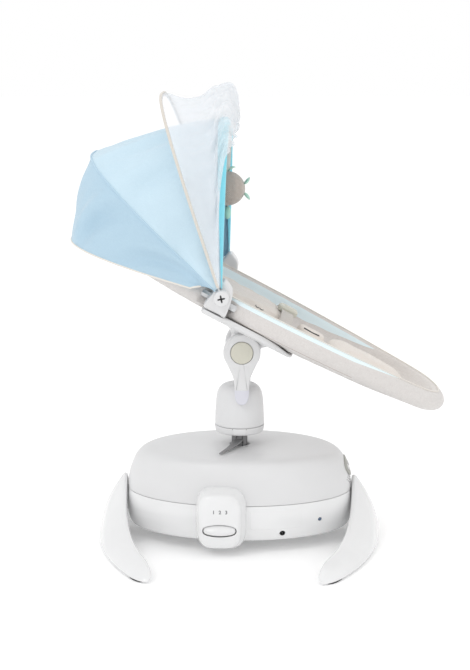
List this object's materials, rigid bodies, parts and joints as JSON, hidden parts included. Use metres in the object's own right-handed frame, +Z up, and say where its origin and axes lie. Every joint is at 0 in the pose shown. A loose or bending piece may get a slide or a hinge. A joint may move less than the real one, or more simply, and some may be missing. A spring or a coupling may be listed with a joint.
{
  "type": "baby swing",
  "caption": "Powered baby swing with an oval base on crescent legs, a turning and reclining sling seat, a folding canopy, a net and a hanging toy.",
  "frame": {"origin": "on the floor, under the middle of the whole swing's box; the column's axis is 37.5 mm towards the head end", "axes": "+Z up, +X towards the foot end of the seat, +Y across the seat"},
  "size_m": [0.7199, 0.6228, 0.8848],
  "materials": {
    "white_satin": "fine satin moulded",
    "white_gloss": "smooth gloss",
    "grey_plastic": "satin",
    "panel_grey": "fine texture",
    "beige_plastic": "matt",
    "tip_grey": "matt",
    "rubber": "matt",
    "black_plastic": "satin",
    "lens": "polished",
    "steel": "turned",
    "brass": "cut",
    "board": "coated laminate",
    "seat_cloth": "woven",
    "cushion_cloth": "soft knit",
    "canopy_cloth": "plain weave",
    "net_cloth": "fine open mesh",
    "belt_cloth": "webbing",
    "toy_cloth": "knitted plush",
    "mint": "satin"
  },
  "bodies": {
    "base": {"base_top_cover": "white_satin", "base_lower_shell": "white_gloss", "leg_head_end": "white_gloss", "leg_foot_end": "white_gloss", "leg_pad_head_near": "rubber", "leg_pad_head_far": "rubber", "leg_pad_foot_near": "rubber", "leg_pad_foot_far": "rubber", "selector_pod": "white_gloss", "dc_jack": "black_plastic", "status_light": "lens", "control_panel": "panel_grey", "drive_motor": "steel", "control_board": "board", "speaker": "black_plastic", "lower_bearing": "steel", "upper_bearing": "steel"},
    "selector": {"selector_paddle": "white_gloss"},
    "door": {"battery_door": "white_gloss"},
    "key_1": {"panel_key_1": "white_satin"},
    "key_2": {"panel_key_2": "white_satin"},
    "pinion": {"drive_pinion": "brass"},
    "sway": {"swing_shaft": "steel", "neck_sleeve": "grey_plastic", "sector_gear": "brass", "collar": "white_satin"},
    "lever": {"release_lever": "grey_plastic"},
    "latch": {"collar_latch": "white_satin"},
    "column": {"column_housing": "white_satin", "arm_near": "white_satin", "arm_far": "white_satin", "arm_tip_near": "tip_grey", "arm_tip_far": "tip_grey", "recline_axle": "steel"},
    "recline_near": {"recline_button_near": "beige_plastic"},
    "recline_far": {"recline_button_far": "beige_plastic"},
    "seat": {"seat_carrier": "white_satin", "seat_tube_head": "steel", "seat_tube_foot": "steel", "seat_sling": "seat_cloth", "body_cushion": "cushion_cloth", "leg_cushion": "cushion_cloth", "crotch_pad": "cushion_cloth", "buckle": "white_satin", "waist_belt_near": "belt_cloth", "waist_belt_far": "belt_cloth", "canopy_bracket_near": "white_satin", "canopy_bracket_far": "white_satin", "canopy_boss_near": "white_satin", "canopy_boss_far": "white_satin"},
    "buckle_key": {"buckle_button": "beige_plastic"},
    "rear_bow": {"rear_bow": "white_satin", "canopy_rear_panel": "canopy_cloth"},
    "front_bow": {"front_bow": "white_satin", "canopy_front_panel": "canopy_cloth"},
    "net_bow": {"net_bow": "white_satin", "mosquito_net": "net_cloth"},
    "toy": {"toy_strap": "belt_cloth", "toy_plush": "toy_cloth", "toy_bead": "mint"}
  },
  "joints": [
    {"name": "swing_sway", "type": "hinge", "parent": "base", "child": "sway", "pos_m": [-0.0375, 0, 0.12], "axis": [0, 0, 1], "range_deg": [-12, 12]},
    {"name": "motor_turn", "type": "hinge", "parent": "base", "child": "pinion", "pos_m": [-0.1095, 0, 0.108], "axis": [0, 0, 1], "range_deg": [-61, 61]},
    {"name": "seat_swivel", "type": "hinge", "parent": "sway", "child": "column", "pos_m": [-0.0375, 0, 0.23], "axis": [0, 0, 1], "range_deg": [-90, 90]},
    {"name": "release_lever_turn", "type": "hinge", "parent": "sway", "child": "lever", "pos_m": [-0.0375, 0, 0.19], "axis": [0, 0, 1], "range_deg": [0, 12], "stiffness_Nm_per_rad": 0.4},
    {"name": "collar_latch_press", "type": "slide", "parent": "sway", "child": "latch", "axis": [0, 1, 0], "range_m": [0, 0.002], "stiffness_N_per_m": 400},
    {"name": "seat_recline", "type": "hinge", "parent": "column", "child": "seat", "pos_m": [-0.0315, 0, 0.379], "axis": [0, 1, 0], "range_deg": [-15, 6]},
    {"name": "recline_button_near_press", "type": "slide", "parent": "column", "child": "recline_near", "axis": [0, 1, 0], "range_m": [0, 0.0025], "stiffness_N_per_m": 500},
    {"name": "recline_button_far_press", "type": "slide", "parent": "column", "child": "recline_far", "axis": [0, -1, 0], "range_m": [0, 0.0025], "stiffness_N_per_m": 500},
    {"name": "rear_bow_fold", "type": "hinge", "parent": "seat", "child": "rear_bow", "pos_m": [-0.06453, 0, 0.51198], "axis": [0, 1, 0], "range_deg": [-16, 4], "deforming": ["canopy_rear_panel"]},
    {"name": "front_bow_fold", "type": "hinge", "parent": "rear_bow", "child": "front_bow", "pos_m": [-0.06453, 0, 0.51198], "axis": [0, 1, 0], "range_deg": [-16, 14], "deforming": ["canopy_front_panel"]},
    {"name": "net_bow_fold", "type": "hinge", "parent": "front_bow", "child": "net_bow", "pos_m": [-0.06453, 0, 0.51198], "axis": [0, 1, 0], "range_deg": [-6, 60], "deforming": ["mosquito_net"]},
    {"name": "toy_hang", "type": "hinge", "parent": "front_bow", "child": "toy", "pos_m": [-0.05953, 0, 0.8115], "axis": [0, 1, 0], "range_deg": [-15, 15]},
    {"name": "selector_rock", "type": "hinge", "parent": "base", "child": "selector", "pos_m": [-0.0705, -0.165, 0.058], "axis": [1, 0, 0], "range_deg": [-5, 5], "stiffness_Nm_per_rad": 0.3},
    {"name": "battery_door_lift", "type": "slide", "parent": "base", "child": "door", "axis": [0.2404, -0.9707, 0], "range_m": [0, 0.03]},
    {"name": "panel_key_1_press", "type": "slide", "parent": "base", "child": "key_1", "axis": [-1, 0, 0], "range_m": [0, 0.001], "stiffness_N_per_m": 300},
    {"name": "panel_key_2_press", "type": "slide", "parent": "base", "child": "key_2", "axis": [-1, 0, 0], "range_m": [0, 0.001], "stiffness_N_per_m": 300},
    {"name": "buckle_press", "type": "slide", "parent": "seat", "child": "buckle_key", "axis": [-0.4617, 0, -0.887], "range_m": [0, 0.002], "stiffness_N_per_m": 400}
  ],
  "couplings": [
    {"joint": "motor_turn", "follows": "swing_sway", "ratio": -5}
  ]
}
